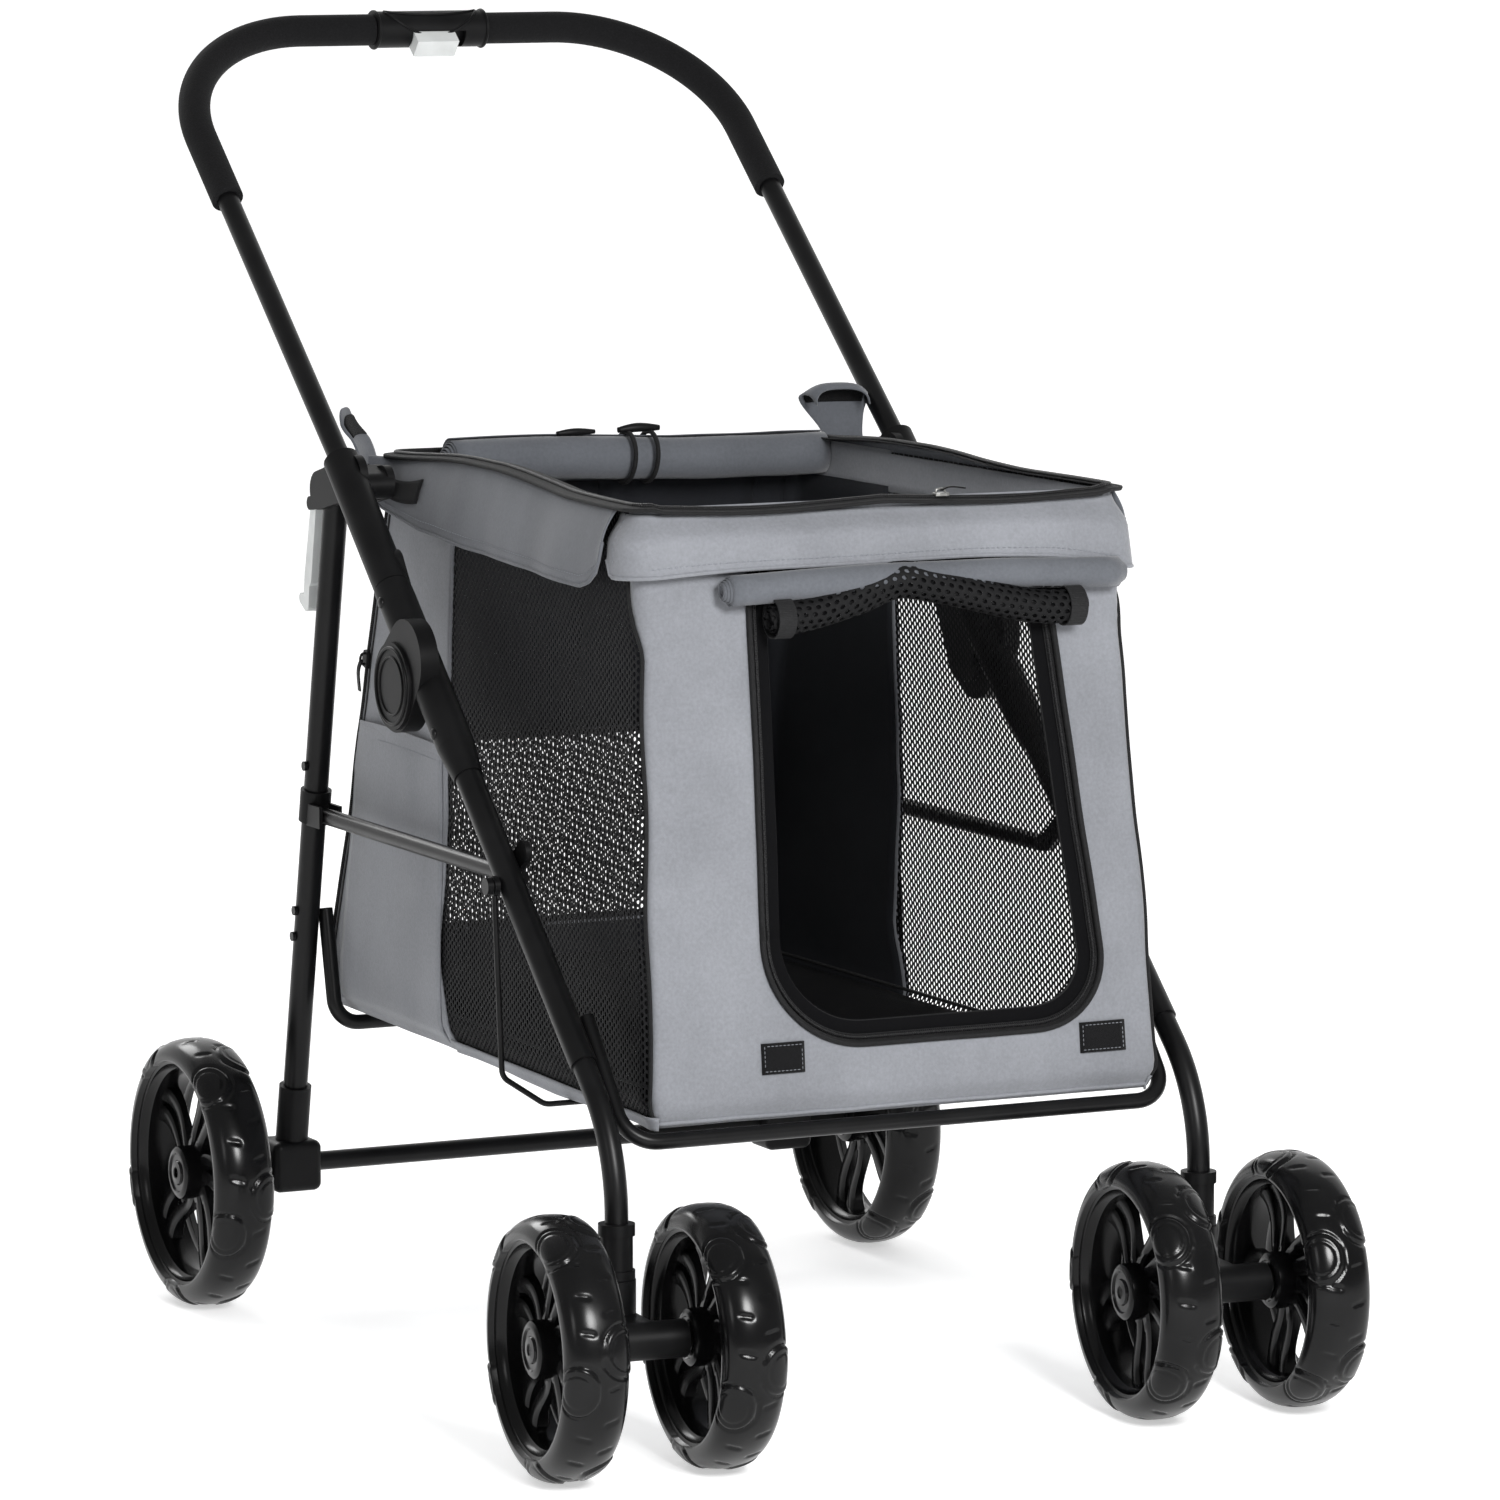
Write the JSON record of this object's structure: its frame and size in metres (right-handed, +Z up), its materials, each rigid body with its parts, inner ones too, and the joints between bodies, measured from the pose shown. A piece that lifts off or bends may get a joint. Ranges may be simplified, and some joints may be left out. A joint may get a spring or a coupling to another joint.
{
  "type": "pet stroller",
  "caption": "Folding pet stroller with a fabric cabin with a front door opening, a U-shaped push handle, swivelling twin-wheel front casters and larger rear wheels.",
  "frame": {"origin": "on the floor, at the centre of the object's outline seen from above", "axes": "+Z up, -Y towards the front casters, +X to the right seen from the front"},
  "size_m": [0.6114, 0.9681, 0.9467],
  "materials": {
    "tyre": "satin black moulded tyre with a scalloped tread",
    "wheel_plastic": "semi-gloss black moulded plastic",
    "light_plastic": "pale grey moulded plastic",
    "foam": "matt black closed-cell foam",
    "grey_fabric": "mid-grey woven polyester",
    "black_fabric": "black woven and mesh fabric",
    "board": "plain black stiffening board",
    "steel": "plain steel",
    "black_plastic": "fine-textured black moulded plastic",
    "frame_steel": "satin black powder-coated tube"
  },
  "bodies": {
    "rear_frame": {"rear_leg_left": "frame_steel", "rear_leg_right": "frame_steel", "axle_bracket_left": "black_plastic", "axle_bracket_right": "black_plastic", "link_brackets": "black_plastic", "frame_bolts": "steel", "rear_axle_tube": "frame_steel", "rear_axle_rod": "steel", "rear_support_bar": "frame_steel", "latch_bracket": "black_plastic"},
    "handle_frame": {"handle_tube": "frame_steel", "foam_grip_left": "foam", "foam_grip_right": "foam", "grip_housing_inner": "black_plastic", "grip_housing_outer": "black_plastic", "hub_shell_left": "black_plastic", "hub_shell_right": "black_plastic"},
    "front_frame": {"front_leg_left": "frame_steel", "front_leg_right": "frame_steel", "leg_socket_left": "black_plastic", "leg_socket_right": "black_plastic", "pivot_covers": "black_plastic", "front_support_bar": "frame_steel", "wire_cradle": "frame_steel", "cradle_bolts": "steel", "caster_socket_left": "black_plastic", "caster_socket_right": "black_plastic", "front_panel": "grey_fabric", "rear_panel": "grey_fabric", "side_panel_left": "grey_fabric", "side_panel_right": "grey_fabric", "floor_board": "board", "floor_cushion": "black_fabric", "front_flap": "grey_fabric", "side_flaps": "grey_fabric", "top_cover_roll": "grey_fabric", "door_roll": "grey_fabric", "mesh_roll": "black_fabric"},
    "release_slider": {"release_slider": "light_plastic"},
    "storage_latch": {"storage_latch": "light_plastic"},
    "side_link_left": {"side_link_left": "frame_steel"},
    "rear_wheel_left": {"rear_tyre_left": "tyre", "rear_rim_left": "wheel_plastic"},
    "brake_pedal_left": {"brake_pedal_left": "black_plastic"},
    "caster_left": {"caster_housing_left": "black_plastic", "caster_axle_left": "steel"},
    "front_wheel_left_left": {"front_tyre_left_left": "tyre", "front_rim_left_left": "wheel_plastic"},
    "front_wheel_left_right": {"front_tyre_left_right": "tyre", "front_rim_left_right": "wheel_plastic"},
    "side_link_right": {"side_link_right": "frame_steel"},
    "rear_wheel_right": {"rear_tyre_right": "tyre", "rear_rim_right": "wheel_plastic"},
    "brake_pedal_right": {"brake_pedal_right": "black_plastic"},
    "caster_right": {"caster_housing_right": "black_plastic", "caster_axle_right": "steel"},
    "front_wheel_right_left": {"front_tyre_right_left": "tyre", "front_rim_right_left": "wheel_plastic"},
    "front_wheel_right_right": {"front_tyre_right_right": "tyre", "front_rim_right_right": "wheel_plastic"}
  },
  "joints": [
    {"name": "handle_fold", "type": "hinge", "parent": "rear_frame", "child": "handle_frame", "pos_m": [0, 0.162, 0.612], "axis": [1, 0, 0], "range_deg": [-99.8, 0]},
    {"name": "front_fold", "type": "hinge", "parent": "handle_frame", "child": "front_frame", "pos_m": [0, -0.02, 0.49], "axis": [1, 0, 0], "range_deg": [0, 120.2]},
    {"name": "link_fold_left", "type": "hinge", "parent": "rear_frame", "child": "side_link_left", "pos_m": [-0.203, 0.186, 0.37], "axis": [1, 0, 0], "range_deg": [-55.2, 0]},
    {"name": "rear_wheel_spin_left", "type": "hinge", "parent": "rear_frame", "child": "rear_wheel_left", "pos_m": [-0.2745, 0.262, 0.1], "axis": [1, 0, 0], "continuous": true},
    {"name": "brake_tilt_left", "type": "hinge", "parent": "rear_frame", "child": "brake_pedal_left", "pos_m": [-0.203, 0.288, 0.108], "axis": [1, 0, 0], "range_deg": [-25, 0]},
    {"name": "caster_swivel_left", "type": "hinge", "parent": "front_frame", "child": "caster_left", "pos_m": [-0.2225, -0.362, 0.137], "axis": [0, 0, 1], "continuous": true},
    {"name": "front_wheel_spin_left_left", "type": "hinge", "parent": "caster_left", "child": "front_wheel_left_left", "pos_m": [-0.28041, -0.39284, 0.09], "axis": [0.9973, -0.0732, 0], "continuous": true},
    {"name": "front_wheel_spin_left_right", "type": "hinge", "parent": "caster_left", "child": "front_wheel_left_right", "pos_m": [-0.16971, -0.40097, 0.09], "axis": [0.9973, -0.0732, 0], "continuous": true},
    {"name": "link_fold_right", "type": "hinge", "parent": "rear_frame", "child": "side_link_right", "pos_m": [0.203, 0.186, 0.37], "axis": [1, 0, 0], "range_deg": [-55.2, 0]},
    {"name": "rear_wheel_spin_right", "type": "hinge", "parent": "rear_frame", "child": "rear_wheel_right", "pos_m": [0.2745, 0.262, 0.1], "axis": [1, 0, 0], "continuous": true},
    {"name": "brake_tilt_right", "type": "hinge", "parent": "rear_frame", "child": "brake_pedal_right", "pos_m": [0.203, 0.288, 0.108], "axis": [1, 0, 0], "range_deg": [-25, 0]},
    {"name": "caster_swivel_right", "type": "hinge", "parent": "front_frame", "child": "caster_right", "pos_m": [0.2225, -0.362, 0.137], "axis": [0, 0, 1], "continuous": true},
    {"name": "front_wheel_spin_right_left", "type": "hinge", "parent": "caster_right", "child": "front_wheel_right_left", "pos_m": [0.16459, -0.39284, 0.09], "axis": [0.9973, -0.0732, 0], "continuous": true},
    {"name": "front_wheel_spin_right_right", "type": "hinge", "parent": "caster_right", "child": "front_wheel_right_right", "pos_m": [0.27529, -0.40097, 0.09], "axis": [0.9973, -0.0732, 0], "continuous": true},
    {"name": "release_slide", "type": "slide", "parent": "handle_frame", "child": "release_slider", "axis": [1, 0, 0], "range_m": [0, 0.009], "stiffness_N_per_m": 300},
    {"name": "latch_swing", "type": "hinge", "parent": "rear_frame", "child": "storage_latch", "pos_m": [-0.205, 0.192, 0.6], "axis": [1, 0, 0], "range_deg": [0, 70]}
  ],
  "couplings": [
    {"joint": "front_fold", "follows": "handle_fold", "ratio": -1.203},
    {"joint": "link_fold_left", "follows": "handle_fold", "ratio": 0.551},
    {"joint": "link_fold_right", "follows": "handle_fold", "ratio": 0.551}
  ]
}
